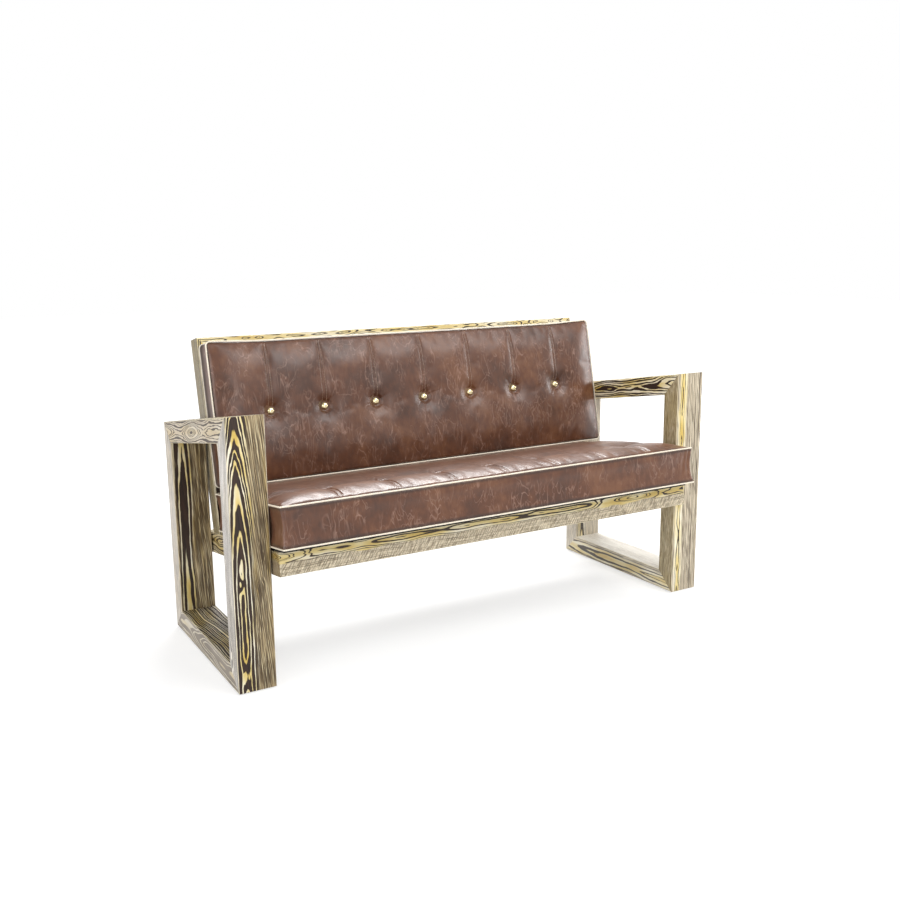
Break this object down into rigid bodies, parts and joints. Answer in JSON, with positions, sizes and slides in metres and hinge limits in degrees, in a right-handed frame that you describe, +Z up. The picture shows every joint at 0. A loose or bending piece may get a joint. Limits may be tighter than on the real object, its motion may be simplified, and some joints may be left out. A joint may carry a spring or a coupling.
{
  "type": "upholstered waiting bench",
  "caption": "Upholstered two-place waiting bench: mitred timber arm frames, sloping seat, leaning tufted back, boxed piped cushions.",
  "frame": {"origin": "on the floor, under the middle of the whole bench", "axes": "+X along the bench, +Y towards the back, +Z up; left in a name is -X, the left of someone who stands in front and looks at the bench"},
  "size_m": [1.4, 0.6344, 0.7752],
  "materials": {
    "burnt_pine": "brushed and burnt softwood under satin lacquer",
    "floor_rubber": "matt black",
    "beech_dowel": "raw, fluted",
    "board_cloth": "black spun lining over plywood",
    "zinc_steel": "zinc plated",
    "brown_leather": "glossy antique brown with pale veins",
    "foam": "open-cell foam",
    "cream_piping": "satin cream",
    "button_brass": "polished",
    "tuft_twine": "waxed twine"
  },
  "bodies": {
    "root": {"left_front_leg": "burnt_pine", "left_arm_rail": "burnt_pine", "left_rear_leg": "burnt_pine", "left_floor_rail": "burnt_pine", "right_front_leg": "burnt_pine", "right_arm_rail": "burnt_pine", "right_rear_leg": "burnt_pine", "right_floor_rail": "burnt_pine", "left_floor_strip": "floor_rubber", "right_floor_strip": "floor_rubber", "arm_frame_dowels": "beech_dowel", "front_seat_rail": "burnt_pine", "rear_seat_rail": "burnt_pine", "left_side_rail": "burnt_pine", "right_side_rail": "burnt_pine", "left_cross_rail": "burnt_pine", "right_cross_rail": "burnt_pine", "seat_frame_dowels": "beech_dowel", "seat_board": "board_cloth", "seat_board_screws": "zinc_steel", "left_back_stile": "burnt_pine", "right_back_stile": "burnt_pine", "back_top_rail": "burnt_pine", "back_bottom_rail": "burnt_pine", "back_frame_dowels": "beech_dowel", "back_board": "board_cloth", "back_board_screws": "zinc_steel", "frame_bolts": "zinc_steel", "bolt_washers": "zinc_steel", "frame_spacers": "zinc_steel", "leg_sleeves": "zinc_steel", "seat_cushion": "brown_leather", "seat_foam": "foam", "seat_top_piping": "cream_piping", "seat_bottom_piping": "cream_piping", "back_cushion": "brown_leather", "back_foam": "foam", "back_front_piping": "cream_piping", "back_rear_piping": "cream_piping", "tuft_buttons": "button_brass", "tuft_ties": "tuft_twine", "tie_washers": "zinc_steel"}
  },
  "joints": []
}
